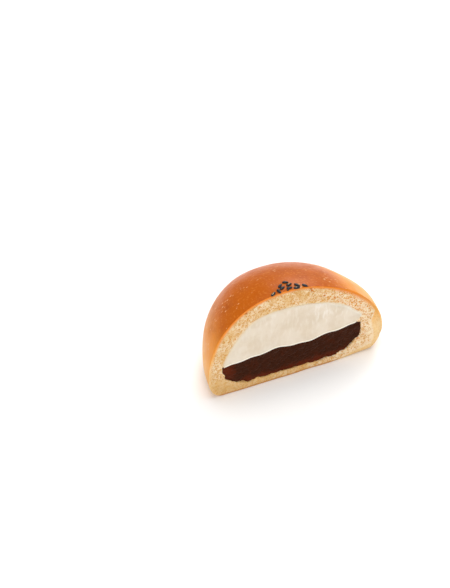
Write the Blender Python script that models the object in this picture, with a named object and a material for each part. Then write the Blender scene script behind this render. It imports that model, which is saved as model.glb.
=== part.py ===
# Half of a red bean cream bun: a baked shell of bread, a layer of bean paste and the cream on it
import math
import bpy
import bmesh
from mathutils import Vector, Matrix, noise

MM = 0.001
GAP = 0.15  # cream and paste each stand back from the seam by this
ROOM = 0.4  # the bread stands back from its fillings by this

# Outside of the bun, in mm. x runs along the cut, y into the bun, z up from the table
HALF_WIDTH = 48.3
DEPTH = 49.1
HEIGHT = 58.4
BELLY_HEIGHT = 11.0
FOOT_RADIUS = 40.2
PLAN_POWER = 2.18
SHOULDER_POWER = 2.15
LEAN = -8.1
LEAN_POWER = 1.6
REAR_SHIFT = 3.4
BULGE = 3.5
BULGE_WIDTH = 0.31
BULGE_TOWARDS = (0.913, 0.375, 0.159)
SKIN_LUMP = 0.35
SKIN_LUMP_SIZE = 22.0
SKIN_LUMP_RISE = 3.0
FLAT_UNDER = 0.1  # what lies lower than this stays flat on the table
SKIN_SEGMENTS = 64
SKIN_RINGS = 36

# Where the cream lies on the paste: three waves along the cut, each with its height, start and length
SEAM_HEIGHT = 22.45
SEAM_SLOPE = 0.08
SEAM_WAVES = ((1.5, 34.2, 76.8), (0.54, -18.0, 26.9), (0.36, -2.4, 13.4))
SEAM_BACK = 38.0
SEAM_FADE = 8.0

# Heights are taken from SEAM_HEIGHT up for the cream and down for the paste
CREAM = {
    "middle": -2.8,
    "half_width": 37.9,
    "depth": 37.5,
    "height": 24.8,
    "along_power": 2.6,
    "up_power": 1.33,
    "depth_power": 2.1,
    "lean": -7.4,
    "lean_power": 3.8,
    "end_lift": 2.5,
    "end_start": 30.5,
    "end_length": 5.0,
    "crag": 0.25,
    "crag_size": 9.0,
    "lumps": (),
    "segments": 64,
    "rings": 16,
}
# Lumps pressed out of the paste's outline, and dents in it: place on the cut, height and width
PASTE_LUMPS = (
    (-26.5, 4.6, 1.6, 2.4),
    (-19.3, 4.6, 0.9, 1.8),
    (-4.8, 4.6, 1.3, 2.8),
    (11.0, 4.8, 1.2, 4.0),
    (20.0, 5.0, 0.7, 3.0),
    (35.4, 13.6, 1.3, 1.9),
    (-12.0, 5.0, -0.5, 2.0),
    (-22.0, 5.0, -0.5, 1.5),
)
LUMP_REACH = 20.0  # the lumps run this far into the bun
PASTE = {
    "middle": -3.1,
    "half_width": 38.3,
    "depth": 37.8,
    "height": 17.6,
    "along_power": 5.0,
    "up_power": 3.05,
    "depth_power": 2.6,
    "lean": 0.8,
    "lean_power": 7.7,
    "end_lift": -1.6,
    "end_start": 32.0,
    "end_length": 3.0,
    "crag": 0.7,
    "crag_size": 4.6,
    "lumps": PASTE_LUMPS,
    "segments": 100,
    "rings": 16,
}

CRAG_RISE = 3.0

# Faces left by the knife. Each knife is given by its left, right, low and high edge
KNIFE_REACH = 60.0
BREAD_KNIFE = (-56.0, 56.0, -4.0, 66.0)
CREAM_KNIFE = (-46.0, 46.0, 10.0, 62.0)
PASTE_KNIFE = (-46.0, 46.0, -2.0, 34.0)
CRUMB_START = 0.1
CRUMB_GRID = 1.5
CRUMB_CELL = 2.6
CRUMB_PIT = 1.3
CRUMB_PIT_SHARE = 0.62
CRUMB_WAVE = 0.3
CRUMB_WAVE_SIZE = 12.0
RIM_WIDTH = 1.3
RIM_DEPTH = 0.45
RIM_END_WIDTH = 6.5
RIM_END_DEPTH = 2.4
RIM_END_START = 10.0
RIM_END_LENGTH = 32.0
CREAM_GRID = 2.6
CREAM_PROUD = 0.35
CREAM_WAVE = 0.3
CREAM_WAVE_SIZE = 7.0
PASTE_GRID = 1.7
PASTE_SUNK = 0.75
PASTE_CRAG = 0.75
PASTE_CRAG_SIZE = 3.4

# Sesame seeds: place along and behind the cut in mm, turn in degrees, length in mm
SEED_LENGTH = 3.2
SEED_WIDTH = 1.9
SEED_THICKNESS = 1.05
SEED_TAPER = 0.38
SEED_SUNK = 0.2
SEEDS = (
    (-14.3, 1.1, 30, 1.0),
    (-11.2, 1.5, -78, 1.0),
    (-9.0, 5.1, 38, 0.95),
    (-8.8, 3.1, 19, 1.0),
    (-5.6, 6.5, -24, 0.95),
    (-4.7, 4.2, 14, 1.0),
    (-5.6, 1.9, -2, 0.95),
    (-6.7, 0.8, 30, 0.5),
    (-1.1, 2.7, -50, 1.0),
    (-2.2, 0.8, -10, 1.0),
    (2.5, 1.6, -38, 0.95),
)


def clear_scene():
    for thing in list(bpy.data.objects):
        bpy.data.objects.remove(thing, do_unlink=True)


def new_collection(name):
    made = bpy.data.collections.new(name)
    bpy.context.scene.collection.children.link(made)
    return made


def new_object(name, bm, collection, root):
    """Puts the shape in mm into the scene as an object in metres."""
    bmesh.ops.scale(bm, vec=(MM, MM, MM), verts=bm.verts)
    bmesh.ops.recalc_face_normals(bm, faces=bm.faces)
    mesh = bpy.data.meshes.new(name)
    bm.to_mesh(mesh)
    bm.free()
    mesh.shade_smooth()
    made = bpy.data.objects.new(name, mesh)
    collection.objects.link(made)
    made.parent = root
    return made


def new_material(name, colour, roughness, coat=0.0):
    made = bpy.data.materials.new(name)
    made.use_nodes = True
    shader = made.node_tree.nodes["Principled BSDF"]
    shader.inputs["Base Color"].default_value = (*colour, 1.0)
    shader.inputs["Roughness"].default_value = roughness
    shader.inputs["Coat Weight"].default_value = coat
    return made


def curve_to_one(value, power):
    """What is left of a rounded side at this share of its length."""
    return max(0.0, 1.0 - min(1.0, abs(value)) ** power) ** (1.0 / power)


def signed_power(value, power):
    return math.copysign(abs(value) ** power, value)


def smooth_noise(place, size, seed):
    return noise.noise(Vector(place) / size + Vector((seed, 0.37 * seed, -seed)))


def outside_point(unit):
    """A point of the whole bun's outside from a point of the unit sphere."""
    round_share = math.hypot(unit.x, unit.y)
    if round_share < 1e-6:
        along, into = 1.0, 0.0
    else:
        along, into = unit.x / round_share, unit.y / round_share
    plan = (abs(along) ** PLAN_POWER + abs(into) ** PLAN_POWER) ** (-1 / PLAN_POWER)
    if unit.z < 0:
        # the ring next to the pole is the edge of the flat foot
        first = math.pi / SKIN_RINGS
        turn = (math.acos(-unit.z) - first) / (math.pi / 2 - first) * math.pi / 2
        foot = FOOT_RADIUS / HALF_WIDTH
        reach = foot + (1 - foot) * math.sin(max(0.0, turn)) if round_share > 1e-6 else 0.0
        height = BELLY_HEIGHT * (1 - math.cos(max(0.0, turn)))
        rise = 0.0
    else:
        power = 2 + (SHOULDER_POWER - 2) * abs(into)
        reach = curve_to_one(unit.z, power)
        rise = unit.z
        height = BELLY_HEIGHT + (HEIGHT - BELLY_HEIGHT) * rise
    x = HALF_WIDTH * reach * plan * along
    y = DEPTH * reach * plan * into
    x += LEAN * rise ** LEAN_POWER + REAR_SHIFT * y / DEPTH * (1 - rise)
    point = Vector((x, y, height))
    turned = 1 - unit.dot(Vector(BULGE_TOWARDS).normalized())
    swell = BULGE * math.exp(-turned / (1 - math.cos(BULGE_WIDTH)))
    fade = (2 * along * into) ** 2 * max(0.0, min(1.0, unit.z * SKIN_LUMP_RISE))
    swell += SKIN_LUMP * fade * smooth_noise(point, SKIN_LUMP_SIZE, 4.0)
    if height > FLAT_UNDER:
        point += swell * unit
    return point


def seam_height(x, y):
    """Height of the seam between the paste and the cream, which runs level at the back."""
    uneven = SEAM_SLOPE * x
    for wave, start, length in SEAM_WAVES:
        uneven += wave * math.sin(2 * math.pi * (x - start) / length)
    return SEAM_HEIGHT + uneven * max(0.0, min(1.0, (SEAM_BACK - abs(y)) / SEAM_FADE))


def filling_point(unit, form, upper):
    """A point of the cream or of the paste, from a unit sphere whose poles lie along the y axis."""
    ring = math.hypot(unit.x, unit.z)
    along, up = (unit.x / ring, unit.z / ring) if ring > 1e-6 else (1.0, 0.0)
    closing = curve_to_one(unit.y, form["depth_power"])
    side = 1 if upper else -1
    domed = up * side > 0
    share, along_power = 0.0, 2.0
    if domed:
        share = abs(up) ** (2 / form["up_power"]) * closing
        along_power = form["along_power"]
    x = form["middle"] + form["half_width"] * signed_power(along, 2 / along_power) * closing
    x += form["lean"] * share ** form["lean_power"]
    y = form["depth"] * unit.y
    end = max(0.0, min(1.0, (x - form["end_start"]) / form["end_length"]))
    z = seam_height(x, y) + side * GAP + form["end_lift"] * end * end * (3 - 2 * end)
    if domed:
        z += (SEAM_HEIGHT + side * form["height"] - z) * share
        crag = form["crag"] * smooth_noise((x, y, z), form["crag_size"], 9.0)
        crag += 0.5 * form["crag"] * smooth_noise((x, y, z), form["crag_size"] / 2, 5.0)
        for lump_x, lump_z, lump, width in form["lumps"]:
            away = math.hypot(x - lump_x, z - lump_z) / width
            crag += lump * math.exp(-away * away) * max(0.0, 1 - abs(y) / LUMP_REACH)
        crag *= closing ** 2 * min(1.0, CRAG_RISE * share)
        x += crag * along
        z += crag * up
    return Vector((x, y, z))


def outside_shape():
    bm = bmesh.new()
    bmesh.ops.create_uvsphere(bm, u_segments=SKIN_SEGMENTS, v_segments=SKIN_RINGS, radius=1)
    for vert in bm.verts:
        vert.co = outside_point(vert.co.normalized())
    return bm


def filling_shape(form, upper, grow):
    bm = bmesh.new()
    bmesh.ops.create_uvsphere(
        bm, u_segments=form["segments"], v_segments=form["rings"], radius=1
    )
    bmesh.ops.rotate(bm, matrix=Matrix.Rotation(math.pi / 2, 3, "X"), verts=bm.verts)
    for vert in bm.verts:
        vert.co = filling_point(vert.co.normalized(), form, upper)
    # split before it grows, so that a room has the same facets as its filling
    bmesh.ops.triangulate(bm, faces=bm.faces)
    bmesh.ops.recalc_face_normals(bm, faces=bm.faces)
    bm.normal_update()
    for vert, outward in [(vert, vert.normal.copy()) for vert in bm.verts]:
        vert.co += grow * outward
    return bm


def knife_shape(relief, spacing, edges):
    """Everything in front of a cut face. The relief gives the face's place at x and z."""
    left, right, low, high = edges
    bm = bmesh.new()
    columns = round((right - left) / spacing)
    rows = round((high - low) / spacing)
    bmesh.ops.create_grid(bm, x_segments=columns, y_segments=rows, size=0.5)
    for vert in bm.verts:
        x = left + (right - left) * (vert.co.x + 0.5)
        z = low + (high - low) * (vert.co.y + 0.5)
        vert.co = (x, relief(x, z), z)
    rim = [edge for edge in bm.edges if edge.is_boundary]
    made = bmesh.ops.extrude_edge_only(bm, edges=rim)["geom"]
    for vert in made:
        if isinstance(vert, bmesh.types.BMVert):
            vert.co.y = -KNIFE_REACH
    bmesh.ops.holes_fill(bm, edges=[edge for edge in bm.edges if edge.is_boundary])
    return bm


def distance_inside(x, z):
    """How far a point of the cut lies inside the outer edge, roughly, in mm."""
    if z < BELLY_HEIGHT:
        drop = min(1.0, (BELLY_HEIGHT - z) / BELLY_HEIGHT)
        reach = FOOT_RADIUS + (HALF_WIDTH - FOOT_RADIUS) * curve_to_one(drop, 2)
        return min(reach - abs(x), z)
    rise = min(1.0, (z - BELLY_HEIGHT) / (HEIGHT - BELLY_HEIGHT))
    across = (x - LEAN * rise ** LEAN_POWER) / HALF_WIDTH
    share = math.hypot(across, rise)
    return (1 - share) * math.hypot(x, z - BELLY_HEIGHT) / max(share, 0.05)


def crumb_relief(x, z):
    inside = distance_inside(x, z)
    end = max(0.0, min(1.0, (x - RIM_END_START) / RIM_END_LENGTH)) ** 2
    width = RIM_WIDTH + (RIM_END_WIDTH - RIM_WIDTH) * end
    depth = RIM_DEPTH + (RIM_END_DEPTH - RIM_DEPTH) * end
    near = 1 - max(0.0, min(1.0, inside / width))
    rim = depth * (1 - math.sqrt(1 - near * near))
    cell = noise.voronoi(Vector((x, 0.0, z)) / CRUMB_CELL)[0][0]
    pit = CRUMB_PIT * max(0.0, CRUMB_PIT_SHARE - cell) * (1 - near)
    wave = CRUMB_WAVE * smooth_noise((x, 0, z), CRUMB_WAVE_SIZE, 2.0)
    return CRUMB_START + rim + pit + wave


def cream_relief(x, z):
    return -CREAM_PROUD + CREAM_WAVE * smooth_noise((x, 0, z), CREAM_WAVE_SIZE, 7.0)


def paste_relief(x, z):
    coarse = smooth_noise((x, 0, z), PASTE_CRAG_SIZE, 3.0)
    fine = 0.45 * smooth_noise((x, 0, z), PASTE_CRAG_SIZE / 2, 6.0)
    return PASTE_SUNK + PASTE_CRAG * (coarse + fine)


def seed_shape(length, width, thickness):
    bm = bmesh.new()
    bmesh.ops.create_uvsphere(bm, u_segments=6, v_segments=4, radius=0.5)
    bmesh.ops.rotate(bm, matrix=Matrix.Rotation(math.pi / 2, 3, "Y"), verts=bm.verts)
    for vert in bm.verts:
        narrow = 1 - SEED_TAPER * (vert.co.x + 0.5)
        vert.co = (length * vert.co.x, width * vert.co.y * narrow, thickness * vert.co.z)
    return bm


def cut_away(body, tool, name):
    step = body.modifiers.new(name, "BOOLEAN")
    step.operation = "DIFFERENCE"
    step.solver = "EXACT"
    step.object = tool


def apply_modifiers(body):
    bpy.context.view_layer.update()
    graph = bpy.context.evaluated_depsgraph_get()
    solid = bpy.data.meshes.new_from_object(body.evaluated_get(graph))
    body.modifiers.clear()
    body.data = solid
    bpy.context.view_layer.update()


def lay_seeds(bread, root, seeds):
    """Stands each seed on the skin under it, turned to lie flat, and fuses all to the bread."""
    for number, (x, y, turn, share) in enumerate(SEEDS):
        above = Vector((x, y, 2 * HEIGHT)) * MM
        hit, place, normal, _ = bread.ray_cast(above, Vector((0, 0, -1)))
        if not hit:
            continue
        bm = seed_shape(SEED_LENGTH * share, SEED_WIDTH * (0.5 + 0.5 * share), SEED_THICKNESS)
        seed = new_object(f"seed_{number + 1}", bm, seeds, root)
        lying = normal.to_track_quat("Z", "Y")
        forward = lying.inverted() @ Vector((1, 0, 0))
        start = math.atan2(forward.y, forward.x)
        turned = Matrix.Rotation(start + math.radians(turn), 3, "Z").to_quaternion()
        seed.rotation_mode = "QUATERNION"
        seed.rotation_quaternion = lying @ turned
        seed.location = place + normal * (SEED_THICKNESS / 2 - SEED_SUNK) * MM
    fuse = bread.modifiers.new("seeds on the top", "BOOLEAN")
    fuse.operation = "UNION"
    fuse.solver = "MANIFOLD"
    fuse.operand_type = "COLLECTION"
    fuse.collection = seeds
    apply_modifiers(bread)
    for seed in list(seeds.objects):
        bpy.data.objects.remove(seed, do_unlink=True)


def main():
    clear_scene()
    bun = new_collection("red_bean_cream_bun")
    tools = new_collection("cutters")
    seeds = new_collection("seeds")
    tools.hide_render = True
    seeds.hide_render = True
    root = bpy.data.objects.new("bun_on_the_table", None)
    bun.objects.link(root)

    outside = outside_shape()
    half = [vert.co for vert in outside.verts if vert.co.y > -1e-6]
    left, right = min(p.x for p in half), max(p.x for p in half)
    back = max(p.y for p in half)
    bread = new_object("bread", outside, bun, root)
    bean_paste = new_object("bean_paste", filling_shape(PASTE, False, 0), bun, root)
    cream = new_object("cream", filling_shape(CREAM, True, 0), bun, root)

    paste_room = new_object("paste_room", filling_shape(PASTE, False, ROOM), tools, root)
    cream_room = new_object("cream_room", filling_shape(CREAM, True, ROOM), tools, root)
    crumb_face = knife_shape(crumb_relief, CRUMB_GRID, BREAD_KNIFE)
    bread_knife = new_object("bread_knife", crumb_face, tools, root)
    cream_face = knife_shape(cream_relief, CREAM_GRID, CREAM_KNIFE)
    cream_knife = new_object("cream_knife", cream_face, tools, root)
    paste_face = knife_shape(paste_relief, PASTE_GRID, PASTE_KNIFE)
    paste_knife = new_object("paste_knife", paste_face, tools, root)

    cut_away(bread, paste_room, "room for the paste")
    cut_away(bread, cream_room, "room for the cream")
    cut_away(bread, bread_knife, "cut face")
    apply_modifiers(bread)
    cut_away(cream, cream_knife, "cut face")
    cut_away(bean_paste, paste_knife, "cut face")
    for tool in tools.objects:
        tool.hide_render = True
        tool.display_type = "WIRE"
    lay_seeds(bread, root, seeds)

    bread.data.materials.clear()
    bread.data.materials.append(new_material("baked_bread", (0.62, 0.26, 0.06), 0.35, 0.3))
    cream.data.materials.append(new_material("whipped_cream", (0.82, 0.76, 0.66), 0.5))
    bean_paste.data.materials.append(new_material("red_bean_paste", (0.06, 0.015, 0.01), 0.45))
    root.location = Vector((-(left + right) / 2, (CREAM_PROUD - back) / 2, 0)) * MM


main()
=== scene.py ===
# Half of a red bean cream bun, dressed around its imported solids
import math
import bpy
import bmesh
from mathutils import Vector, Matrix, noise
from mathutils.bvhtree import BVHTree
from mathutils.kdtree import KDTree


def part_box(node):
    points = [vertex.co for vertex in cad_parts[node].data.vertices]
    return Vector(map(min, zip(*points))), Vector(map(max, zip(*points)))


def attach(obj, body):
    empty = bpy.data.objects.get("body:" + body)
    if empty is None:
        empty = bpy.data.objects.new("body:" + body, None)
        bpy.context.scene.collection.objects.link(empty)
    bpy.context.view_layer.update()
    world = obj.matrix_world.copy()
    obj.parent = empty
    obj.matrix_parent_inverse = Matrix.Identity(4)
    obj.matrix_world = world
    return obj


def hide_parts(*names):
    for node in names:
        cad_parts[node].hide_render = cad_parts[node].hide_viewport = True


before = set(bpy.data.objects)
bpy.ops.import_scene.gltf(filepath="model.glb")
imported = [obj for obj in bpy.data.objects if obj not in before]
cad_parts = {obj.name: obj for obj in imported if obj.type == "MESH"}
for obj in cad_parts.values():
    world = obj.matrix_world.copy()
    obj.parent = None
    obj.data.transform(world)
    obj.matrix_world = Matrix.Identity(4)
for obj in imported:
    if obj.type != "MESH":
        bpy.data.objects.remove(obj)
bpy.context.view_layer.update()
scene = bpy.context.scene
mm = 0.001


def linearColour(hexText):
    parts = [int(hexText[i:i + 2], 16) / 255 for i in (1, 3, 5)]
    return tuple(p / 12.92 if p <= 0.04045 else ((p + 0.055) / 1.055) ** 2.4 for p in parts) + (1.0,)


def setInputs(tree, node, values):
    # each input set to a value or a hex colour, or linked to a socket or to a node's first live output
    for name, value in values.items():
        if isinstance(value, bpy.types.Node):
            value = next(output for output in value.outputs if output.enabled)
        if isinstance(value, bpy.types.NodeSocket):
            tree.links.new(value, node.inputs[name])
        elif isinstance(value, str) and value.startswith("#"):
            node.inputs[name].default_value = linearColour(value)
        else:
            node.inputs[name].default_value = value


def addNode(tree, kind, settings=None, links=None):
    node = tree.nodes.new(kind)
    for name, value in (settings or {}).items():
        setattr(node, name, value)
    setInputs(tree, node, links or {})
    return node


def newMaterial(name):
    material = bpy.data.materials.new(name)
    material.use_nodes = True
    return material, material.node_tree, material.node_tree.nodes["Principled BSDF"]


# Settings that several nodes share. Inputs are given by number where a node repeats their names:
# 1 to 4 of a Map Range are from low, from high, to low and to high, 6 and 7 of a Mix its two colours
timesOf, sumOf, lessOf, shareOf, timesPlusOf = (
    {"operation": name} for name in ("MULTIPLY", "ADD", "SUBTRACT", "DIVIDE", "MULTIPLY_ADD"))
eased, blended = {"interpolation_type": "SMOOTHSTEP"}, {"data_type": "RGBA"}


def setRamp(node, stops):
    ramp = node.color_ramp
    while len(ramp.elements) < len(stops):
        ramp.elements.new(0.5)
    for element, (place, colour) in zip(ramp.elements, stops):
        element.position = place
        element.color = linearColour(colour)


# The bun's outside. x runs along the cut, y into the bun, z up, all in mm from the middle of the cut
bunForm = {
    "halfWidth": 48.3, "depth": 49.1, "height": 58.4, "bellyHeight": 11.0, "footRadius": 40.2,
    "planPower": 2.18, "shoulderPower": 2.15, "lean": -8.1, "leanPower": 1.6, "rearShift": 3.4,
    "bulge": 3.5, "bulgeWidth": 0.31, "bulgeTowards": (0.913, 0.375, 0.159),
    "lump": 0.35, "lumpSize": 22.0, "segments": 192, "rings": 108,
}
# The wavy line where the cream lies on the paste, level at the back
seamForm = {
    "height": 22.45, "slope": 0.08, "back": 38.0, "fade": 8.0, "gap": 0.15,
    "waves": ((1.5, 34.2, 76.8), (0.54, -18.0, 26.9), (0.36, -2.4, 13.4)),  # height, start, length
}
creamForm = {
    "middle": -2.8, "halfWidth": 37.9, "depth": 37.5, "height": 24.8, "alongPower": 2.6, "upPower": 1.33,
    "depthPower": 2.1, "lean": -7.4, "leanPower": 3.8, "crag": 0.25, "cragSize": 9.0,
    "lumps": (), "lumpReach": 20.0, "endLift": 2.5, "endStart": 30.5, "endLength": 5.0,
    "segments": 220, "rings": 60, "side": 1, "proud": 0.35,
}
pasteForm = {
    "middle": -3.1, "halfWidth": 38.3, "depth": 37.8, "height": 17.6, "alongPower": 5.0, "upPower": 3.05,
    "depthPower": 2.6, "lean": 0.8, "leanPower": 7.7, "crag": 0.7, "cragSize": 4.6,
    # lumps pressed out of the outline and dents in it: place on the cut, height and width
    "lumps": ((-26.5, 4.6, 1.6, 2.4), (-19.3, 4.6, 0.9, 1.8), (-4.8, 4.6, 1.3, 2.8), (11.0, 4.8, 1.2, 4.0),
              (20.0, 5.0, 0.7, 3.0), (35.4, 13.6, 1.3, 1.9), (-12.0, 5.0, -0.5, 2.0), (-22.0, 5.0, -0.5, 1.5),
              # two small notches and a tooth, too narrow for the solid's facets
              (-41.2, 13.3, -1.0, 1.3), (34.2, 10.9, -0.9, 1.4), (35.6, 14.0, 0.5, 0.9)),
    "lumpReach": 20.0, "endLift": -1.6, "endStart": 32.0, "endLength": 3.0,
    "segments": 260, "rings": 60, "side": -1, "sunk": 0.75,
}
# How far the fillings and their rooms in the bread are grown, so that no gap shows between them
fillingGrow, roomGrow = 0.04, 0.02


def clamped(value):
    return max(0.0, min(1.0, value))


def roundedSide(share, power):
    return max(0.0, 1 - min(1.0, abs(share)) ** power) ** (1 / power)


def signedPower(value, power):
    return math.copysign(abs(value) ** power, value)


def softNoise(place, size, seed):
    return noise.noise(Vector(place) / size + Vector((seed, 0.37 * seed, -seed)))


def bunPoint(unit, form):
    # a flat foot, a belly low down and a dome above it that leans to the left
    around = math.hypot(unit.x, unit.y)
    along, into = (unit.x / around, unit.y / around) if around > 1e-6 else (1.0, 0.0)
    plan = (abs(along) ** form["planPower"] + abs(into) ** form["planPower"]) ** (-1 / form["planPower"])
    rise = max(0.0, unit.z)
    if unit.z < 0:
        first = math.pi / form["rings"]
        turn = max(0.0, (math.acos(-unit.z) - first) / (math.pi / 2 - first) * math.pi / 2)
        foot = form["footRadius"] / form["halfWidth"]
        reach = foot + (1 - foot) * math.sin(turn) if around > 1e-6 else 0.0
        height = form["bellyHeight"] * (1 - math.cos(turn))
    else:
        reach = roundedSide(unit.z, 2 + (form["shoulderPower"] - 2) * abs(into))
        height = form["bellyHeight"] + (form["height"] - form["bellyHeight"]) * rise
    x = form["halfWidth"] * reach * plan * along
    y = form["depth"] * reach * plan * into
    x += form["lean"] * rise ** form["leanPower"] + form["rearShift"] * y / form["depth"] * (1 - rise)
    point = Vector((x, y, height))
    turned = 1 - unit.dot(Vector(form["bulgeTowards"]).normalized())
    swell = form["bulge"] * math.exp(-turned / (1 - math.cos(form["bulgeWidth"])))
    fade = (2 * along * into) ** 2 * min(1.0, rise * 3)
    swell += form["lump"] * fade * softNoise(point, form["lumpSize"], 4.0)
    return point + swell * unit if height > 0.1 else point


def seamHeight(x, y=0.0):
    s = seamForm
    uneven = s["slope"] * x
    for wave, start, length in s["waves"]:
        uneven += wave * math.sin(2 * math.pi * (x - start) / length)
    return s["height"] + uneven * clamped((s["back"] - abs(y)) / s["fade"])


def fillingPoint(unit, form):
    # the seam on one side and a dome, up or down, on the other
    ring = math.hypot(unit.x, unit.z)
    along, up = (unit.x / ring, unit.z / ring) if ring > 1e-6 else (1.0, 0.0)
    closing = roundedSide(unit.y, form["depthPower"])
    domed = up * form["side"] > 0
    share = abs(up) ** (2 / form["upPower"]) * closing if domed else 0.0
    reach = signedPower(along, 2 / form["alongPower"] if domed else 1.0)
    x = form["middle"] + form["halfWidth"] * reach * closing + form["lean"] * share ** form["leanPower"]
    y = form["depth"] * unit.y
    end = clamped((x - form["endStart"]) / form["endLength"])
    z = seamHeight(x, y) + form["side"] * seamForm["gap"] + form["endLift"] * end * end * (3 - 2 * end)
    if domed:
        z += (seamForm["height"] + form["side"] * form["height"] - z) * share
        crag = form["crag"] * softNoise((x, y, z), form["cragSize"], 9.0)
        crag += 0.5 * form["crag"] * softNoise((x, y, z), form["cragSize"] / 2, 5.0)
        for lumpX, lumpZ, lump, width in form["lumps"]:
            away = math.hypot(x - lumpX, z - lumpZ) / width
            crag += lump * math.exp(-away * away) * max(0.0, 1 - abs(y) / form["lumpReach"])
        crag *= closing ** 2 * min(1.0, 3 * share)
        x += crag * along
        z += crag * up
    return Vector((x, y, z))


def bunShape(form):
    bm = bmesh.new()
    bmesh.ops.create_uvsphere(bm, u_segments=form["segments"], v_segments=form["rings"], radius=1)
    for vert in bm.verts:
        vert.co = bunPoint(vert.co.normalized(), form)
    return bm


def fillingShape(form, grow):
    bm = bmesh.new()
    bmesh.ops.create_uvsphere(bm, u_segments=form["segments"], v_segments=form["rings"], radius=1)
    bmesh.ops.rotate(bm, matrix=Matrix.Rotation(math.pi / 2, 3, "X"), verts=bm.verts)
    for vert in bm.verts:
        vert.co = fillingPoint(vert.co.normalized(), form)
    bmesh.ops.triangulate(bm, faces=bm.faces)
    bmesh.ops.recalc_face_normals(bm, faces=bm.faces)
    bm.normal_update()
    for vert, outward in [(vert, vert.normal.copy()) for vert in bm.verts]:
        vert.co += grow * outward
    return bm


knifeFront = -60  # how far before the cut a knife starts


def knifeShape(relief, cut):
    # all that lies before a cut face, whose place at x and z the relief gives
    bm = bmesh.new()
    left, right, low, high = cut["knife"]
    columns, rows = round((right - left) / cut["spacing"]), round((high - low) / cut["spacing"])
    bmesh.ops.create_grid(bm, x_segments=columns, y_segments=rows, size=0.5)
    for vert in bm.verts:
        x, z = left + (right - left) * (vert.co.x + 0.5), low + (high - low) * (vert.co.y + 0.5)
        vert.co = (x, relief(x, z), z)
    made = bmesh.ops.extrude_edge_only(bm, edges=[e for e in bm.edges if e.is_boundary])["geom"]
    for vert in made:
        if isinstance(vert, bmesh.types.BMVert):
            vert.co.y = knifeFront
    bmesh.ops.holes_fill(bm, edges=[e for e in bm.edges if e.is_boundary])
    return bm


# Where the middle of the cut lies in the frame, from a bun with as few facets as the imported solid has
coarseBun = bunShape({**bunForm, "segments": 64, "rings": 36})
halfPoints = [v.co.copy() for v in coarseBun.verts if v.co.y > -1e-6]
coarseBun.free()
leftEnd, rightEnd = min(p.x for p in halfPoints), max(p.x for p in halfPoints)
backEnd = max(p.y for p in halfPoints)
cutPlace = Vector((-(leftEnd + rightEnd) / 2, (creamForm["proud"] - backEnd) / 2, 0))
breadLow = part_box("bread")[0]
print("cut placed at", cutPlace, "mm, ends differ by", breadLow.x / mm - leftEnd - cutPlace.x)


def meshObject(name, bm):
    # shape in mm about the middle of the cut, turned into metres in the frame
    for vert in bm.verts:
        vert.co = (vert.co + cutPlace) * mm
    bmesh.ops.recalc_face_normals(bm, faces=bm.faces)
    mesh = bpy.data.meshes.new(name)
    bm.to_mesh(mesh)
    bm.free()
    made = bpy.data.objects.new(name, mesh)
    scene.collection.objects.link(made)
    return made


def plainMesh(body):
    bpy.context.view_layer.update()
    graph = bpy.context.evaluated_depsgraph_get()
    mesh = bpy.data.meshes.new_from_object(body.evaluated_get(graph))
    body.modifiers.clear()
    body.data = mesh
    bpy.context.view_layer.update()


def carve(body, tools):
    for tool in tools:
        step = body.modifiers.new(tool.name, "BOOLEAN")
        step.operation = "DIFFERENCE"
        step.solver = "MANIFOLD"
        step.object = tool
    plainMesh(body)
    for tool in tools:
        bpy.data.objects.remove(tool, do_unlink=True)


# Bread: a shell whose cut face is open crumb, and whose crust rolls over the edge at the right
crumbCut = {
    "spacing": 0.26, "knife": (-56, 56, -4, 66), "start": 0.05, "wave": 0.3, "waveSize": 12.0,
    "reach": 6,  # no relief of the cut lies further back
    "fineCell": 1.05, "finePit": 0.38, "fineWall": 0.06, "warp": 0.45, "warpSize": 1.3,
    "coarseCell": 2.7, "coarsePit": 0.9, "coarseShare": 0.36, "coarseChance": 0.6,
    # where large cells start to the right and upward, over what length they grow common, and their least share
    "richStart": (-8, 24), "richLength": (26, 12), "richLeast": 0.08,
    "rimWidth": 1.3, "rimDepth": 0.45, "endWidth": 6.5, "endDepth": 2.4, "endStart": 10.0, "endLength": 32.0,
    "smoothWidth": 1.0, "smoothLow": 8.0, "smoothTop": 27.0, "smoothFade": 6.0,
    "creamSmear": 1.3, "smearFill": 0.8,
}
# Outline of the cream's dome on the cut, where crumb and cream run into each other
domeSteps = 240
domeEdge = KDTree(domeSteps + 1)
for step in range(domeSteps + 1):
    angle = math.pi * step / domeSteps
    domeEdge.insert(fillingPoint(Vector((math.cos(angle), 0, math.sin(angle))), creamForm), step)
domeEdge.balance()


def insideDistance(x, z):
    # how far a place on the cut lies inside the bun's outline, measured toward the middle of the belly
    f = bunForm
    if z < f["bellyHeight"]:
        drop = min(1.0, (f["bellyHeight"] - z) / f["bellyHeight"])
        reach = f["footRadius"] + (f["halfWidth"] - f["footRadius"]) * roundedSide(drop, 2)
        return min(reach - abs(x), z)
    rise = min(1.0, (z - f["bellyHeight"]) / (f["height"] - f["bellyHeight"]))
    across = (x - f["lean"] * rise ** f["leanPower"]) / f["halfWidth"]
    share = math.hypot(across, rise)
    return (1 - share) * math.hypot(x, z - f["bellyHeight"]) / max(share, 0.05)


def endShare(x):
    return clamped((x - crumbCut["endStart"]) / crumbCut["endLength"]) ** 2


def rimShare(x, z):
    # 1 at the outer edge, 0 where its rounding ends
    c = crumbCut
    width = c["rimWidth"] + (c["endWidth"] - c["rimWidth"]) * endShare(x)
    return 1 - clamped(insideDistance(x, z) / width)


def smoothShare(x, z):
    # how far the place belongs to the closed skin of the right end, which is widest low down
    c = crumbCut
    end = endShare(x)
    width = c["smoothWidth"] + c["smoothLow"] * end * clamped((c["smoothTop"] - z) / c["smoothFade"])
    return (1 - clamped(insideDistance(x, z) / width)) * clamped(end * 3)


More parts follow.
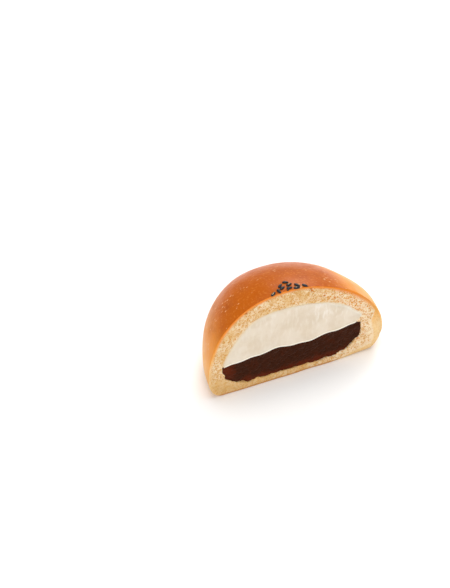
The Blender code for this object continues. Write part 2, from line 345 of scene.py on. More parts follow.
def openShare(x, z):
    # how far the crumb's cells lie open here: not in the crust line and not under closed skin
    edge = 1 - clamped(insideDistance(x, z) / crumbCut["rimWidth"])
    return (1 - edge) * (1 - clamped(2 * smoothShare(x, z)))


def creamNearness(x, z):
    # 1 on the outline of the cream's dome, 0 a smear's width away from it
    return 1 - clamped(domeEdge.find((x, 0, z))[2] / crumbCut["creamSmear"])


def crumbWave(x, z):
    return crumbCut["start"] + crumbCut["wave"] * softNoise((x, 0, z), crumbCut["waveSize"], 2.0)


def poreShare(x, z):
    # open cells of the crumb: small ones everywhere, large ones toward the upper right,
    # where the dough rose most, each with its own chance
    c = crumbCut
    (startX, startZ), (lengthX, lengthZ) = c["richStart"], c["richLength"]
    bent = Vector((x, 0, z)) + c["warp"] * Vector((
        softNoise((x, 0, z), c["warpSize"], 1.0), 0, softNoise((x, 0, z), c["warpSize"], 8.0)))
    reach, centres = noise.voronoi(bent / c["fineCell"])
    chance = 0.5 + 0.5 * noise.cell(centres[0] * 9.7)
    fine = clamped((reach[1] - reach[0] - c["fineWall"]) * 4) * (0.3 + 0.7 * chance)
    reach, centres = noise.voronoi(bent / c["coarseCell"] + Vector((7.3, 0, 1.9)))
    chance = 0.5 + 0.5 * noise.cell(centres[0] * 5.3)
    toRight, toTop = clamped((x - startX) / lengthX), clamped((z - startZ) / lengthZ)
    rich = c["richLeast"] + (1 - c["richLeast"]) * toRight * toTop
    coarse = clamped((c["coarseShare"] - reach[0]) / 0.2) if chance < c["coarseChance"] * rich else 0.0
    return fine, coarse


def crumbRelief(x, z):
    c = crumbCut
    near = rimShare(x, z)
    fine, coarse = poreShare(x, z)
    depth = c["rimDepth"] + (c["endDepth"] - c["rimDepth"]) * endShare(x)
    rim = depth * (1 - math.sqrt(1 - near * near))
    pits = (c["finePit"] * fine + c["coarsePit"] * coarse) * openShare(x, z)
    return crumbWave(x, z) + rim + pits * (1 - c["smearFill"] * creamNearness(x, z))


bread = meshObject("bakedBread", bunShape(bunForm))
skinTree = BVHTree.FromPolygons(
    [v.co.copy() for v in bread.data.vertices], [tuple(p.vertices) for p in bread.data.polygons])
carve(bread, [
    meshObject("pasteRoom", fillingShape(pasteForm, roomGrow)),
    meshObject("creamRoom", fillingShape(creamForm, roomGrow)),
    meshObject("crumbKnife", knifeShape(crumbRelief, crumbCut)),
])
print("bread", len(bread.data.polygons), "faces")

# Cream: a soft dome, a little proud of the crumb, smeared by the knife at its upper right,
# with a thin lip pressed out along its lower edge
creamCut = {
    "spacing": 0.4, "knife": (-46, 46, 10, 62), "reach": 1, "wave": 0.3, "waveSize": 7.0,
    "lip": 0.3, "lipWidth": 0.9, "smear": 0.22, "smearSize": 1.5, "smearLeast": 0.25,
    "smearStart": (-5, 36), "smearLength": (25, 8),  # to the right and upward
}


def lipShare(x, z):
    return math.exp(-(max(0.0, z - seamHeight(x)) / creamCut["lipWidth"]) ** 2)


def creamRelief(x, z):
    c = creamCut
    (startX, startZ), (lengthX, lengthZ) = c["smearStart"], c["smearLength"]
    smearPlace = clamped((x - startX) / lengthX) * clamped((z - startZ) / lengthZ)
    # drawn out slantwise, the way the knife went
    slanted = (x * 0.45 + z * 0.5, 0, z * 1.2 - x * 0.4)
    smear = softNoise(slanted, c["smearSize"], 3.0) * (c["smearLeast"] + smearPlace)
    wave = c["wave"] * softNoise((x, 0, z), c["waveSize"], 7.0)
    body = wave + c["smear"] * smear - creamForm["proud"] - c["lip"] * lipShare(x, z)
    edge = creamNearness(x, z) * (1 - lipShare(x, z))
    return body + (crumbWave(x, z) - body) * edge


cream = meshObject("whippedCream", fillingShape(creamForm, fillingGrow))
carve(cream, [meshObject("creamKnife", knifeShape(creamRelief, creamCut))])
print("cream", len(cream.data.polygons), "faces")

# Bean paste: rough broken face with bits of skin in it
pasteCut = {
    "spacing": 0.32, "knife": (-46, 46, -2, 34), "crag": 0.75, "cragSize": 3.4, "grain": 0.42, "grainSize": 1.1,
}


def pasteRelief(x, z):
    c = pasteCut
    coarse = softNoise((x, 0, z), c["cragSize"], 3.0) + 0.45 * softNoise((x, 0, z), c["cragSize"] / 2, 6.0)
    grain = softNoise((x, 0, z), c["grainSize"], 11.0) + 0.5 * softNoise((x, 0, z), c["grainSize"] / 2, 13.0)
    return pasteForm["sunk"] + c["crag"] * coarse + c["grain"] * grain


paste = meshObject("redBeanPaste", fillingShape(pasteForm, fillingGrow))
carve(paste, [meshObject("pasteKnife", knifeShape(pasteRelief, pasteCut))])
print("bean paste", len(paste.data.polygons), "faces")


def addAttribute(mesh, name, values):
    attribute = mesh.attributes.new(name, "FLOAT", "POINT")
    attribute.data.foreach_set("value", values)


# What the materials have to know of each point: its distance from the uncut outside in mm,
# how deep it lies in a cell, and how much skin, cream or lip there is
onSkin = 0.02  # a point nearer than this to the uncut outside lies on it
sharpAngle = 55
depths, pores, cells, rolls, smears = [], [], [], [], []
for vert in bread.data.vertices:
    nearest = skinTree.find_nearest(vert.co)[3] / mm
    place = vert.co / mm - cutPlace
    onCut = nearest > onSkin and place.y < crumbCut["reach"]
    depths.append(nearest)
    fine, coarse = poreShare(place.x, place.z) if onCut else (0.0, 0.0)
    pores.append(fine * openShare(place.x, place.z))
    cells.append(coarse * openShare(place.x, place.z))
    rolls.append(smoothShare(place.x, place.z) if onCut else 0.0)
    smears.append(creamNearness(place.x, place.z) if onCut else 0.0)
for name, values in (
        ("skinDepth", depths), ("poreDepth", pores), ("largeCell", cells), ("rolledEdge", rolls),
        ("creamSmear", smears)):
    addAttribute(bread.data, name, values)
lips, edges = [], []
for vert in cream.data.vertices:
    place = vert.co / mm - cutPlace
    lips.append(lipShare(place.x, place.z) if place.y < creamCut["reach"] else 0.0)
    edges.append(creamNearness(place.x, place.z) if place.y < creamCut["reach"] else 0.0)
addAttribute(cream.data, "lipShare", lips)
addAttribute(cream.data, "domeEdge", edges)
for piece in (bread, cream, paste):
    piece.data.shade_smooth()
    piece.data.set_sharp_from_angle(angle=math.radians(sharpAngle))

# Black sesame on the top by the cut
seedForm = {
    "length": 3.3, "width": 1.95, "thickness": 1.1, "taper": 0.42, "sunk": 0.18, "segments": 16, "rings": 12,
    "dropFrom": 20,  # above the bun, to find the crust under each seed
}
# place along and behind the cut, turn in degrees, share of the full length, how worn the hull is
seedPlaces = (
    (-14.3, 1.1, 30, 1.0, 0.9), (-11.2, 1.5, -78, 1.0, 0.1), (-9.0, 5.1, 38, 0.95, 0.0),
    (-8.8, 3.1, 19, 1.0, 0.2), (-5.6, 6.5, -24, 0.95, 0.0), (-4.7, 4.2, 14, 1.0, 0.7),
    (-5.6, 1.9, -2, 0.95, 0.1), (-6.7, 0.8, 30, 0.5, 0.3), (-1.1, 2.7, -50, 1.0, 0.0),
    (-2.2, 0.8, -10, 1.0, 0.6), (2.5, 1.6, -38, 0.95, 0.0),
)


def seedTree():
    # stands one seed on each point, turned by the point's own values, and splits the seeds into real mesh
    tree = bpy.data.node_groups.new("sesameOnTheCrust", "GeometryNodeTree")
    tree.interface.new_socket(name="Geometry", in_out="INPUT", socket_type="NodeSocketGeometry")
    for name in ("Length", "Width", "Thickness", "Taper"):
        tree.interface.new_socket(name=name, in_out="INPUT", socket_type="NodeSocketFloat")
    tree.interface.new_socket(name="Seed Material", in_out="INPUT", socket_type="NodeSocketMaterial")
    tree.interface.new_socket(name="Geometry", in_out="OUTPUT", socket_type="NodeSocketGeometry")
    given = addNode(tree, "NodeGroupInput").outputs
    ball = addNode(tree, "GeometryNodeMeshUVSphere", links={
        "Segments": seedForm["segments"], "Rings": seedForm["rings"], "Radius": 0.5})
    place = addNode(tree, "GeometryNodeInputPosition")
    axes = addNode(tree, "ShaderNodeSeparateXYZ", links={0: place}).outputs
    # a ball drawn out to length, width and thickness, narrower toward one end
    ahead = addNode(tree, "ShaderNodeMath", sumOf, {0: axes["Z"], 1: 0.5})
    loss = addNode(tree, "ShaderNodeMath", timesOf, {0: ahead, 1: given["Taper"]})
    narrow = addNode(tree, "ShaderNodeMath", lessOf, {0: 1.0, 1: loss})
    long = addNode(tree, "ShaderNodeMath", timesOf, {0: axes["Z"], 1: given["Length"]})
    wide = addNode(tree, "ShaderNodeMath", timesOf, {0: axes["X"], 1: given["Width"]})
    wideEnd = addNode(tree, "ShaderNodeMath", timesOf, {0: wide, 1: narrow})
    thick = addNode(tree, "ShaderNodeMath", timesOf, {0: axes["Y"], 1: given["Thickness"]})
    drop = addNode(tree, "ShaderNodeCombineXYZ", links={0: long, 1: wideEnd, 2: thick})
    # kept from the round ball, before it is drawn out
    along = addNode(
        tree, "GeometryNodeStoreNamedAttribute", {"data_type": "FLOAT_VECTOR", "domain": "POINT"},
        {"Geometry": ball, "Name": "placeOnSeed", "Value": place})
    shaped = addNode(tree, "GeometryNodeSetPosition", links={"Geometry": along, "Position": drop})
    turn = addNode(tree, "GeometryNodeInputNamedAttribute", {"data_type": "FLOAT_VECTOR"}, {"Name": "seedTurn"})
    share = addNode(tree, "GeometryNodeInputNamedAttribute", {"data_type": "FLOAT"}, {"Name": "seedShare"})
    copies = addNode(tree, "GeometryNodeInstanceOnPoints", links={
        "Points": given["Geometry"], "Instance": shaped, "Rotation": turn, "Scale": share})
    real = addNode(tree, "GeometryNodeRealizeInstances", links={"Geometry": copies})
    smooth = addNode(tree, "GeometryNodeSetShadeSmooth", links={"Geometry": real})
    coloured = addNode(tree, "GeometryNodeSetMaterial", links={
        "Geometry": smooth, "Material": given["Seed Material"]})
    addNode(tree, "NodeGroupOutput", links={"Geometry": coloured})
    return tree


def useTree(body, tree, values):
    # sets each input by its socket's identifier before the tree first runs, then makes the result plain mesh
    modifier = body.modifiers.new(tree.name, "NODES")
    modifier.node_group = tree
    for item in tree.interface.items_tree:
        if item.item_type == "SOCKET" and item.in_out == "INPUT" and item.name in values:
            modifier[item.identifier] = values[item.name]
    plainMesh(body)


# In all materials below lengths are metres, so a pattern of scale s repeats about every 1000 / s mm
def seedMaterial():
    # Black sesame: a thin ribbed hull, dull to half glossy, on some worn through to the tan seed inside
    material, tree, shader = newMaterial("blackSesameHull")
    place = addNode(tree, "ShaderNodeTexCoord").outputs["Object"]
    worn = addNode(tree, "ShaderNodeAttribute", {"attribute_name": "seedLook"}).outputs["Fac"]
    onSeed = addNode(tree, "ShaderNodeAttribute", {"attribute_name": "placeOnSeed"}).outputs["Vector"]
    patches = addNode(tree, "ShaderNodeTexNoise", links={"Vector": place, "Scale": 900, "Detail": 3})
    # distance from the middle of the seed's upper side, longer along the seed than across it
    centred = addNode(tree, "ShaderNodeMapping", {"vector_type": "POINT"}, {
        "Vector": onSeed, "Location": (0, -0.35, 0.05), "Scale": (1.6, 0.9, 1.0)})
    fromMiddle = addNode(tree, "ShaderNodeVectorMath", {"operation": "LENGTH"}, {0: centred}).outputs["Value"]
    middle = addNode(tree, "ShaderNodeMapRange", eased, {0: fromMiddle, 1: 0.12, 2: 0.36, 3: 1, 4: 0})
    show = addNode(tree, "ShaderNodeMath", timesOf, {0: worn, 1: middle})
    broken = addNode(tree, "ShaderNodeMath", timesPlusOf, {0: patches, 1: 0.7, 2: -0.35})
    mask = addNode(tree, "ShaderNodeMath", sumOf, {0: show, 1: broken})
    bare = addNode(tree, "ShaderNodeMapRange", eased, {0: mask, 1: 0.42, 2: 0.6})
    hull = addNode(tree, "ShaderNodeMix", blended, {0: patches, 6: "#0e0f11", 7: "#2c3034"})
    colour = addNode(tree, "ShaderNodeMix", blended, {0: bare, 6: hull, 7: "#bfa67a"})
    bump = addNode(tree, "ShaderNodeBump", links={"Strength": 0.5, "Distance": 0.0001, "Height": patches})
    setInputs(tree, shader, {
        "Base Color": colour, "Roughness": 0.4, "Normal": bump, "Specular IOR Level": 0.3})
    return material


def seedPoints():
    skin = BVHTree.FromObject(bread, bpy.context.evaluated_depsgraph_get())
    points, turns, shares, looks = [], [], [], []
    for x, y, turn, share, look in seedPlaces:
        above = (Vector((x, y, bunForm["height"] + seedForm["dropFrom"])) + cutPlace) * mm
        place, normal, _, _ = skin.ray_cast(above, Vector((0, 0, -1)))
        lying = normal.to_track_quat("Z", "Y")
        ahead = lying.inverted() @ Vector((1, 0, 0))
        spin = math.atan2(ahead.y, ahead.x) + math.radians(turn)
        lying = lying @ Matrix.Rotation(spin, 3, "Z").to_quaternion()
        points.append(place + normal * (seedForm["thickness"] / 2 - seedForm["sunk"]) * mm)
        turns.extend(lying.to_euler())
        shares.append(share)
        looks.append(look)
    mesh = bpy.data.meshes.new("sesameSeeds")
    mesh.from_pydata(points, [], [])
    mesh.attributes.new("seedTurn", "FLOAT_VECTOR", "POINT").data.foreach_set("vector", turns)
    addAttribute(mesh, "seedShare", shares)
    addAttribute(mesh, "seedLook", looks)
    made = bpy.data.objects.new("sesameSeeds", mesh)
    scene.collection.objects.link(made)
    return made


seeds = seedPoints()
useTree(seeds, seedTree(), {
    "Length": seedForm["length"] * mm, "Width": seedForm["width"] * mm,
    "Thickness": seedForm["thickness"] * mm, "Taper": seedForm["taper"], "Seed Material": seedMaterial()})
print("seeds", len(seeds.data.polygons), "faces")


def crustMaterial():
    # Yeast bun crust, brushed with egg and baked: browned most on top, golden on the sides, pale low down,
    # with an uneven gloss where the egg wash dried
    material, tree, shader = newMaterial("eggWashedCrust")
    place = addNode(tree, "ShaderNodeTexCoord").outputs["Object"]
    axes = addNode(tree, "ShaderNodeSeparateXYZ", links={0: place}).outputs
    broad = addNode(tree, "ShaderNodeTexNoise", links={
        "Vector": place, "Scale": 45, "Detail": 4, "Roughness": 0.55})
    height = addNode(tree, "ShaderNodeMath", shareOf, {0: axes["Z"], 1: bunForm["height"] * mm})
    shift = addNode(tree, "ShaderNodeMath", timesPlusOf, {0: broad, 1: 0.34, 2: -0.17})
    # the right side painted paler and less browned, painted light for the light that falls on it from the right
    # and back
    litRight = addNode(tree, "ShaderNodeMapRange", eased, {0: axes["X"], 1: 0.0, 2: 0.045, 4: -0.27})
    uneven = addNode(tree, "ShaderNodeMath", sumOf, {0: shift, 1: litRight})
    # how browned the crust is, with the painted light on the right side added in
    bakedAndLit = addNode(tree, "ShaderNodeMath", sumOf, {0: height, 1: uneven})
    tone = addNode(tree, "ShaderNodeValToRGB", links={0: bakedAndLit})
    setRamp(tone, [
        (0.0, "#efb45e"), (0.15, "#eeaa48"), (0.35, "#f8aa3c"),
        (0.55, "#eb9024"), (0.78, "#c4620a"), (1.0, "#b45606")])
    # darker, redder patches, about 8 mm across
    patch = addNode(tree, "ShaderNodeTexNoise", links={
        "Vector": place, "Scale": 120, "Detail": 5, "Roughness": 0.62})
    browned = addNode(tree, "ShaderNodeMapRange", eased, {0: bakedAndLit, 1: 0.5, 2: 0.78, 4: 0.34})
    dark = addNode(tree, "ShaderNodeMapRange", eased, {0: patch, 1: 0.48, 2: 0.72, 4: browned})
    patched = addNode(tree, "ShaderNodeMix", blended, {0: dark, 6: tone, 7: "#9a3d0c"})
    # fine mottling of the wash, about 1 mm
    mottle = addNode(tree, "ShaderNodeTexNoise", links={"Vector": place, "Scale": 900, "Detail": 3})
    light = addNode(tree, "ShaderNodeMapRange", eased, {0: mottle, 1: 0.5, 2: 0.75, 4: 0.3})
    mottled = addNode(tree, "ShaderNodeMix", blended, {0: light, 6: patched, 7: "#e79a45"})
    # pale blisters and short streaks where the wash is thin, about 1.5 mm long, in groups about 7 mm apart;
    # their pale colour is partly the thin wash and partly a painted highlight on each blister
    drawn = addNode(tree, "ShaderNodeMapping", links={
        "Vector": place, "Rotation": (0.3, 0.2, 0.6), "Scale": (0.7, 2.0, 1)})
    fleck = addNode(tree, "ShaderNodeTexVoronoi", links={"Vector": drawn, "Scale": 420})
    where = addNode(tree, "ShaderNodeTexNoise", links={"Vector": place, "Scale": 150, "Detail": 2})
    spot = addNode(tree, "ShaderNodeMapRange", eased, {0: fleck, 1: 0.1, 2: 0.32, 3: 1, 4: 0})
    group = addNode(tree, "ShaderNodeMapRange", eased, {0: where, 1: 0.53, 2: 0.63})
    blister = addNode(tree, "ShaderNodeMath", timesOf, {0: spot, 1: group})
    # pale colour of the blisters, partly a painted highlight
    paleAndGlint = addNode(tree, "ShaderNodeMath", timesOf, {0: blister, 1: 0.7})
    colour = addNode(tree, "ShaderNodeMix", blended, {0: paleAndGlint, 6: mottled, 7: "#f7c98d"})
    gloss = addNode(tree, "ShaderNodeMapRange", eased, {0: patch, 1: 0.3, 2: 0.7, 3: 0.28, 4: 0.42})
    # shallow ripples of the skin, about 5 mm, with the mottling and the blisters on them
    ripple = addNode(tree, "ShaderNodeTexNoise", links={"Vector": place, "Scale": 220, "Detail": 2})
    skin = addNode(tree, "ShaderNodeMath", sumOf, {0: mottle, 1: blister})
    raised = addNode(tree, "ShaderNodeMath", timesPlusOf, {0: ripple, 1: 2.0, 2: skin})
    bump = addNode(tree, "ShaderNodeBump", links={"Strength": 0.35, "Distance": 0.00025, "Height": raised})
    setInputs(tree, shader, {
        "Base Color": colour, "Roughness": gloss, "Normal": bump, "Specular IOR Level": 0.12,
        "Coat Weight": 0.02, "Coat Roughness": 0.2, "Subsurface Weight": 0.05,
        "Subsurface Radius": (0.003, 0.0012, 0.0004), "Subsurface Scale": 1.0})
    return material


def crumbMaterial():
    # Soft open crumb of an enriched dough: matt, cream coloured cell walls, painted ochre shade in the cells,
    # and crust brown where the knife went through the crust
    material, tree, shader = newMaterial("softBunCrumb")
    place = addNode(tree, "ShaderNodeTexCoord").outputs["Object"]
    axes = addNode(tree, "ShaderNodeSeparateXYZ", links={0: place}).outputs
    depth, pore, cell, rolled, smear = (
        addNode(tree, "ShaderNodeAttribute", {"attribute_name": name}).outputs["Fac"]
        for name in ("skinDepth", "poreDepth", "largeCell", "rolledEdge", "creamSmear"))
    broad = addNode(tree, "ShaderNodeTexNoise", links={
        "Vector": place, "Scale": 160, "Detail": 4, "Roughness": 0.6})
    cloudy = addNode(tree, "ShaderNodeMapRange", eased, {0: broad, 1: 0.35, 2: 0.65})
    wall = addNode(tree, "ShaderNodeMix", blended, {0: cloudy, 6: "#f2dbb6", 7: "#e8c28a"})
    # painted shade: the cells are coloured a darker ochre the deeper their pits lie
    poreShade = addNode(tree, "ShaderNodeMapRange", eased, {0: pore, 1: 0.02, 2: 0.55, 4: 0.9})
    # toward the upper right the cells' painted shade is more orange
    toRight = addNode(tree, "ShaderNodeMapRange", eased, {0: axes["X"], 1: 0.004, 2: 0.032})
    toTop = addNode(tree, "ShaderNodeMapRange", eased, {0: axes["Z"], 1: 0.022, 2: 0.036})
    upperRight = addNode(tree, "ShaderNodeMath", timesOf, {0: toRight, 1: toTop})
    poreShadeTone = addNode(tree, "ShaderNodeMix", blended, {0: upperRight, 6: "#d99c4c", 7: "#e0900e"})
    # and its walls are paler on that side
    airy = addNode(tree, "ShaderNodeMath", timesOf, {0: toRight, 1: 0.5})
    paleWall = addNode(tree, "ShaderNodeMix", blended, {0: airy, 6: wall, 7: "#fdecd0"})
    poreShaded = addNode(tree, "ShaderNodeMix", blended, {0: poreShade, 6: paleWall, 7: poreShadeTone})
    # painted shade in the large cells, a darker orange
    cellShade = addNode(tree, "ShaderNodeMapRange", eased, {0: cell, 1: 0.1, 2: 0.7, 4: 0.85})
    cellShaded = addNode(tree, "ShaderNodeMix", blended, {0: cellShade, 6: poreShaded, 7: "#db8128"})
    # low down, where the fillings press on it, the crumb is denser and more yellow
    lowShare = addNode(tree, "ShaderNodeMapRange", eased, {0: axes["X"], 1: -0.035, 2: 0.03, 3: 0.65, 4: 0.1})
    low = addNode(tree, "ShaderNodeMapRange", eased, {0: axes["Z"], 1: 0.004, 2: 0.018, 3: lowShare, 4: 0})
    dense = addNode(tree, "ShaderNodeMix", blended, {0: low, 6: cellShaded, 7: "#d8ab66"})
    # cream smeared over the cell walls along the dome, in ragged threads about 1 mm wide
    thread = addNode(tree, "ShaderNodeTexNoise", links={"Vector": place, "Scale": 900, "Detail": 2})
    smearMask = addNode(tree, "ShaderNodeMath", sumOf, {0: smear, 1: thread})
    smeared = addNode(tree, "ShaderNodeMapRange", eased, {0: smearMask, 1: 0.95, 2: 1.35})
    smearTone = addNode(tree, "ShaderNodeMix", blended, {0: upperRight, 6: "#e6d0ae", 7: "#f0e2cc"})
    creamed = addNode(tree, "ShaderNodeMix", blended, {0: smeared, 6: dense, 7: smearTone})
    # baked edge of the underside, a thin tan line
    foot = addNode(tree, "ShaderNodeMapRange", eased, {0: axes["Z"], 1: 0.0008, 2: 0.0017, 3: 0.85, 4: 0})
    footed = addNode(tree, "ShaderNodeMix", blended, {0: foot, 6: creamed, 7: "#b97c3e"})
    # smooth outside of the bun where it rolls over the cut at the right, pale low down and orange higher up
    height = addNode(tree, "ShaderNodeMath", shareOf, {0: axes["Z"], 1: bunForm["height"] * mm})
    side = addNode(tree, "ShaderNodeValToRGB", links={0: height})
    setRamp(side, [
        (0.0, "#eac58a"), (0.3, "#f3cf97"), (0.45, "#f5b765"), (0.62, "#f59b3c"), (0.85, "#e07a20")])
    ragged = addNode(tree, "ShaderNodeMath", timesPlusOf, {0: broad, 1: 0.7, 2: -0.35})
    edgeOf = addNode(tree, "ShaderNodeMath", sumOf, {0: rolled, 1: ragged})
    over = addNode(tree, "ShaderNodeMapRange", eased, {0: edgeOf, 1: 0.25, 2: 0.5})
    # fine grain of that skin, about 0.8 mm
    dotted = addNode(tree, "ShaderNodeTexNoise", links={"Vector": place, "Scale": 1200, "Detail": 2})
    grainy = addNode(tree, "ShaderNodeMapRange", eased, {0: dotted, 1: 0.48, 2: 0.68, 4: 0.55})
    sideSkin = addNode(tree, "ShaderNodeMix", blended, {0: grainy, 6: side, 7: "#d99a48"})
    skinned = addNode(tree, "ShaderNodeMix", blended, {0: over, 6: footed, 7: sideSkin})
    # crust seen from its edge, 1.5 mm at the left and 2.2 mm at the upper right, faint near the table
    wide = addNode(tree, "ShaderNodeMapRange", eased, {0: axes["X"], 1: 0.004, 2: 0.034, 3: 1.5, 4: 2.2})
    shift = addNode(tree, "ShaderNodeMath", timesPlusOf, {0: broad, 1: 1.1, 2: -0.55})
    uneven = addNode(tree, "ShaderNodeMath", sumOf, {0: depth, 1: shift})
    share = addNode(tree, "ShaderNodeMath", shareOf, {0: uneven, 1: wide})
    line = addNode(tree, "ShaderNodeMapRange", eased, {0: share, 1: 0.1, 2: 1.2, 3: 1, 4: 0})
    browned = addNode(tree, "ShaderNodeMapRange", eased, {0: axes["Z"], 1: 0.014, 2: 0.032, 3: 0.12, 4: 1})
    crust = addNode(tree, "ShaderNodeMath", timesOf, {0: line, 1: browned})
    higher = addNode(tree, "ShaderNodeMapRange", eased, {0: axes["Z"], 1: 0.02, 2: 0.045})
    brown = addNode(tree, "ShaderNodeMix", blended, {0: higher, 6: "#f2b050", 7: "#e8851c"})
    colour = addNode(tree, "ShaderNodeMix", blended, {0: crust, 6: skinned, 7: brown})
    gloss = addNode(tree, "ShaderNodeMapRange", eased, {0: crust, 1: 0.3, 2: 0.9, 3: 0.8, 4: 0.42})
    # threads of the cell walls, 0.7 mm and finer
    fine = addNode(tree, "ShaderNodeTexNoise", links={"Vector": place, "Scale": 1500, "Detail": 3})
    bump = addNode(tree, "ShaderNodeBump", links={"Strength": 0.6, "Distance": 0.0003, "Height": fine})
    setInputs(tree, shader, {
        "Base Color": colour, "Roughness": gloss, "Normal": bump, "Specular IOR Level": 0.3,
        "Subsurface Weight": 0.12, "Subsurface Radius": (0.002, 0.0012, 0.0006), "Subsurface Scale": 1.0})
    return material


def creamMaterial():
    # Whipped cream held in a bun: smooth fat foam, warm off-white, soft light through it, a faint sheen,
    # and a painted highlight along the lip the knife pressed out at its lower edge
    material, tree, shader = newMaterial("whippedCreamFoam")
    place = addNode(tree, "ShaderNodeTexCoord").outputs["Object"]
    axes = addNode(tree, "ShaderNodeSeparateXYZ", links={0: place}).outputs
    lip, edge = (
        addNode(tree, "ShaderNodeAttribute", {"attribute_name": name}).outputs["Fac"]
        for name in ("lipShare", "domeEdge"))
    # soft clouds, about 9 mm
    broad = addNode(tree, "ShaderNodeTexNoise", links={
        "Vector": place, "Scale": 110, "Detail": 4, "Roughness": 0.55})
    cloudy = addNode(tree, "ShaderNodeMapRange", eased, {0: broad, 1: 0.35, 2: 0.65})
    clouded = addNode(tree, "ShaderNodeMix", blended, {0: cloudy, 6: "#e8dac6", 7: "#dfceb6"})
    # paler threads, about 0.7 mm wide, drawn down from the dome where the knife dragged it
    drawn = addNode(tree, "ShaderNodeMapping", links={
        "Vector": place, "Rotation": (0, 0.35, 0), "Scale": (1, 1, 0.3)})
    threads = addNode(tree, "ShaderNodeTexNoise", links={"Vector": drawn, "Scale": 700, "Detail": 2})
    toRight = addNode(tree, "ShaderNodeMapRange", eased, {0: axes["X"], 1: -0.012, 2: 0.018, 3: 0.3, 4: 0.85})
    toTop = addNode(tree, "ShaderNodeMapRange", eased, {0: axes["Z"], 1: 0.026, 2: 0.04, 3: 0.15, 4: toRight})
    drag = addNode(tree, "ShaderNodeMapRange", eased, {0: threads, 1: 0.45, 2: 0.72, 4: toTop})
    tint = addNode(tree, "ShaderNodeMix", blended, {0: drag, 6: clouded, 7: "#f4ebdf"})
    # painted highlight: the lip is coloured near white where it catches the light
    lipHighlight = addNode(tree, "ShaderNodeMapRange", eased, {0: lip, 1: 0.3, 2: 0.8})
    lipHighlighted = addNode(tree, "ShaderNodeMix", blended, {0: lipHighlight, 6: tint, 7: "#fff6e2"})
    # thinned over the crumb along its upper edge, with crumbs of the bread caught in it, about 1 mm
    thread = addNode(tree, "ShaderNodeTexNoise", links={"Vector": place, "Scale": 900, "Detail": 2})
    caught = addNode(tree, "ShaderNodeMath", sumOf, {0: edge, 1: thread})
    edgeTone = addNode(tree, "ShaderNodeMix", blended, {0: toRight, 6: "#e2ceae", 7: "#f6ebdc"})
    thinned = addNode(tree, "ShaderNodeMix", blended, {0: edge, 6: lipHighlighted, 7: edgeTone})
    crumbs = addNode(tree, "ShaderNodeMapRange", eased, {0: caught, 1: 1.2, 2: 1.5, 4: 0.6})
    colour = addNode(tree, "ShaderNodeMix", blended, {0: crumbs, 6: thinned, 7: "#e6c89c"})
    # the foam's own unevenness, about 2 mm and finer
    fine = addNode(tree, "ShaderNodeTexNoise", links={"Vector": place, "Scale": 500, "Detail": 3})
    bump = addNode(tree, "ShaderNodeBump", links={"Strength": 0.25, "Distance": 0.0003, "Height": fine})
    setInputs(tree, shader, {
        "Base Color": colour, "Roughness": 0.5, "Normal": bump, "Specular IOR Level": 0.35,
        "Subsurface Weight": 0.25, "Subsurface Radius": (0.003, 0.0023, 0.0016), "Subsurface Scale": 1.0})
    return material


def pasteMaterial():
    # Sweet red bean paste: mashed beans boiled with sugar, very dark brown and slightly moist,
    # redder where it is thin and where skins lie
    material, tree, shader = newMaterial("sweetBeanPaste")
    place = addNode(tree, "ShaderNodeTexCoord").outputs["Object"]
    axes = addNode(tree, "ShaderNodeSeparateXYZ", links={0: place}).outputs
    # patches of bean and skin, about 6 mm
    broad = addNode(tree, "ShaderNodeTexNoise", links={
        "Vector": place, "Scale": 170, "Detail": 5, "Roughness": 0.6})
    ends = addNode(tree, "ShaderNodeMath", {"operation": "ABSOLUTE"}, {0: axes["X"]})
    toEnd = addNode(tree, "ShaderNodeMapRange", eased, {0: ends, 1: 0.03, 2: 0.042, 4: 0.4})
    toFoot = addNode(tree, "ShaderNodeMapRange", eased, {0: axes["Z"], 1: 0.004, 2: 0.010, 3: 0.45, 4: 0})
    thin = addNode(tree, "ShaderNodeMath", sumOf, {0: toEnd, 1: toFoot})
    mask = addNode(tree, "ShaderNodeMath", sumOf, {0: thin, 1: broad})
    red = addNode(tree, "ShaderNodeMapRange", eased, {0: mask, 1: 0.5, 2: 1.05})
    colour = addNode(tree, "ShaderNodeMix", blended, {0: red, 6: "#3c1a08", 7: "#62240c"})
    gloss = addNode(tree, "ShaderNodeMapRange", eased, {0: broad, 1: 0.3, 2: 0.7, 3: 0.45, 4: 0.7})
    # grain of the mash, about 1 mm and finer
    grain = addNode(tree, "ShaderNodeTexNoise", links={
        "Vector": place, "Scale": 1100, "Detail": 4, "Roughness": 0.65})
    bump = addNode(tree, "ShaderNodeBump", links={"Strength": 0.6, "Distance": 0.0004, "Height": grain})
    setInputs(tree, shader, {
        "Base Color": colour, "Roughness": gloss, "Normal": bump, "Specular IOR Level": 0.07})
    return material


for piece, looks in (
        (bread, (crustMaterial(), crumbMaterial())), (cream, (creamMaterial(),)), (paste, (pasteMaterial(),))):
    piece.data.materials.clear()
    for look in looks:
        piece.data.materials.append(look)
for face in bread.data.polygons:
    face.material_index = 0 if all(depths[i] < onSkin for i in face.vertices) else 1
print("materials ready")

for piece, node, slot in (
        (bread, "bread", "baked_bread"), (cream, "cream", "whipped_cream"),
        (paste, "bean_paste", "red_bean_paste"), (seeds, "bread", "baked_bread")):
    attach(piece, "root")
    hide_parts(node)

# Plain floor, soft studio light
stageLook = {"floorColour": "#ffffff", "floorSize": 3.0, "worldColour": "#ffffff", "worldStrength": 0.42}
bpy.ops.mesh.primitive_plane_add(size=stageLook["floorSize"], location=(0, 0, 0))
floor = bpy.context.object
floor.name = "studioFloor"
paper, paperTree, paperShader = newMaterial("studioPaper")
setInputs(paperTree, paperShader, {
    "Base Color": stageLook["floorColour"], "Roughness": 0.9, "Specular IOR Level": 0.1})
floor.data.materials.append(paper)

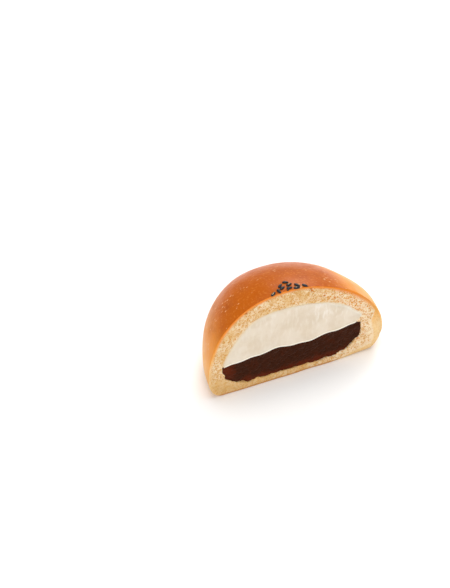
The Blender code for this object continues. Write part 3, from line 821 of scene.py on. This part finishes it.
world = bpy.data.worlds.new("studioRoom")
world.use_nodes = True
setInputs(world.node_tree, world.node_tree.nodes["Background"], {
    "Color": stageLook["worldColour"], "Strength": stageLook["worldStrength"]})
scene.world = world

# name, place, aim, size in metres, power in watts
softLights = (
    ("overheadPanel", (0.0, 0.1, 1.1), (0, 0, 0.02), 1.0, 7.4),
    ("backPanel", (0.45, 0.55, 0.55), (0, 0, 0.04), 0.5, 3.0),
    ("frontPanel", (-0.25, -0.75, 0.45), (0, 0, 0.03), 0.7, 2.5),
)
for name, place, aim, size, power in softLights:
    light = bpy.data.lights.new(name, "AREA")
    light.shape = "DISK"
    light.size = size
    light.energy = power
    lamp = bpy.data.objects.new(name, light)
    lamp.location = place
    lamp.rotation_euler = (Vector(aim) - Vector(place)).to_track_quat("-Z", "Y").to_euler()
    scene.collection.objects.link(lamp)

# Camera fitted to the outline in the photograph: height and turn in degrees, distance in mm,
# focal length and aim in pixels of an image of the size given
view = {
    "up": 42.0, "turn": -23.0, "distance": 650.0, "focal": 1270.1, "imageWidth": 450, "imageHeight": 588,
    "aimPixel": (291.5, 374.7), "sensor": 36.0, "sectionMiddle": 3.08, "nearest": 0.01,
}
up, turn = math.radians(view["up"]), math.radians(view["turn"])
back = Vector((math.sin(turn) * math.cos(up), -math.cos(turn) * math.cos(up), math.sin(up)))
right = Vector((math.cos(turn), math.sin(turn), 0))
over = back.cross(right)
aimRight = view["aimPixel"][0] - view["imageWidth"] / 2
aimDown = view["aimPixel"][1] - view["imageHeight"] / 2
ray = aimRight * right - aimDown * over - view["focal"] * back
eye = -view["distance"] * ray.normalized() - Vector((view["sectionMiddle"], 0, 0)) + cutPlace
camera = bpy.data.objects.new("photoCamera", bpy.data.cameras.new("photoCamera"))
camera.data.sensor_width = view["sensor"]
camera.data.lens = view["focal"] * view["sensor"] / view["imageHeight"]
camera.data.clip_start = view["nearest"]
camera.matrix_world = Matrix.Translation(eye * mm) @ Matrix((right, over, back)).transposed().to_4x4()
scene.collection.objects.link(camera)
scene.camera = camera
scene.view_settings.view_transform = "Standard"
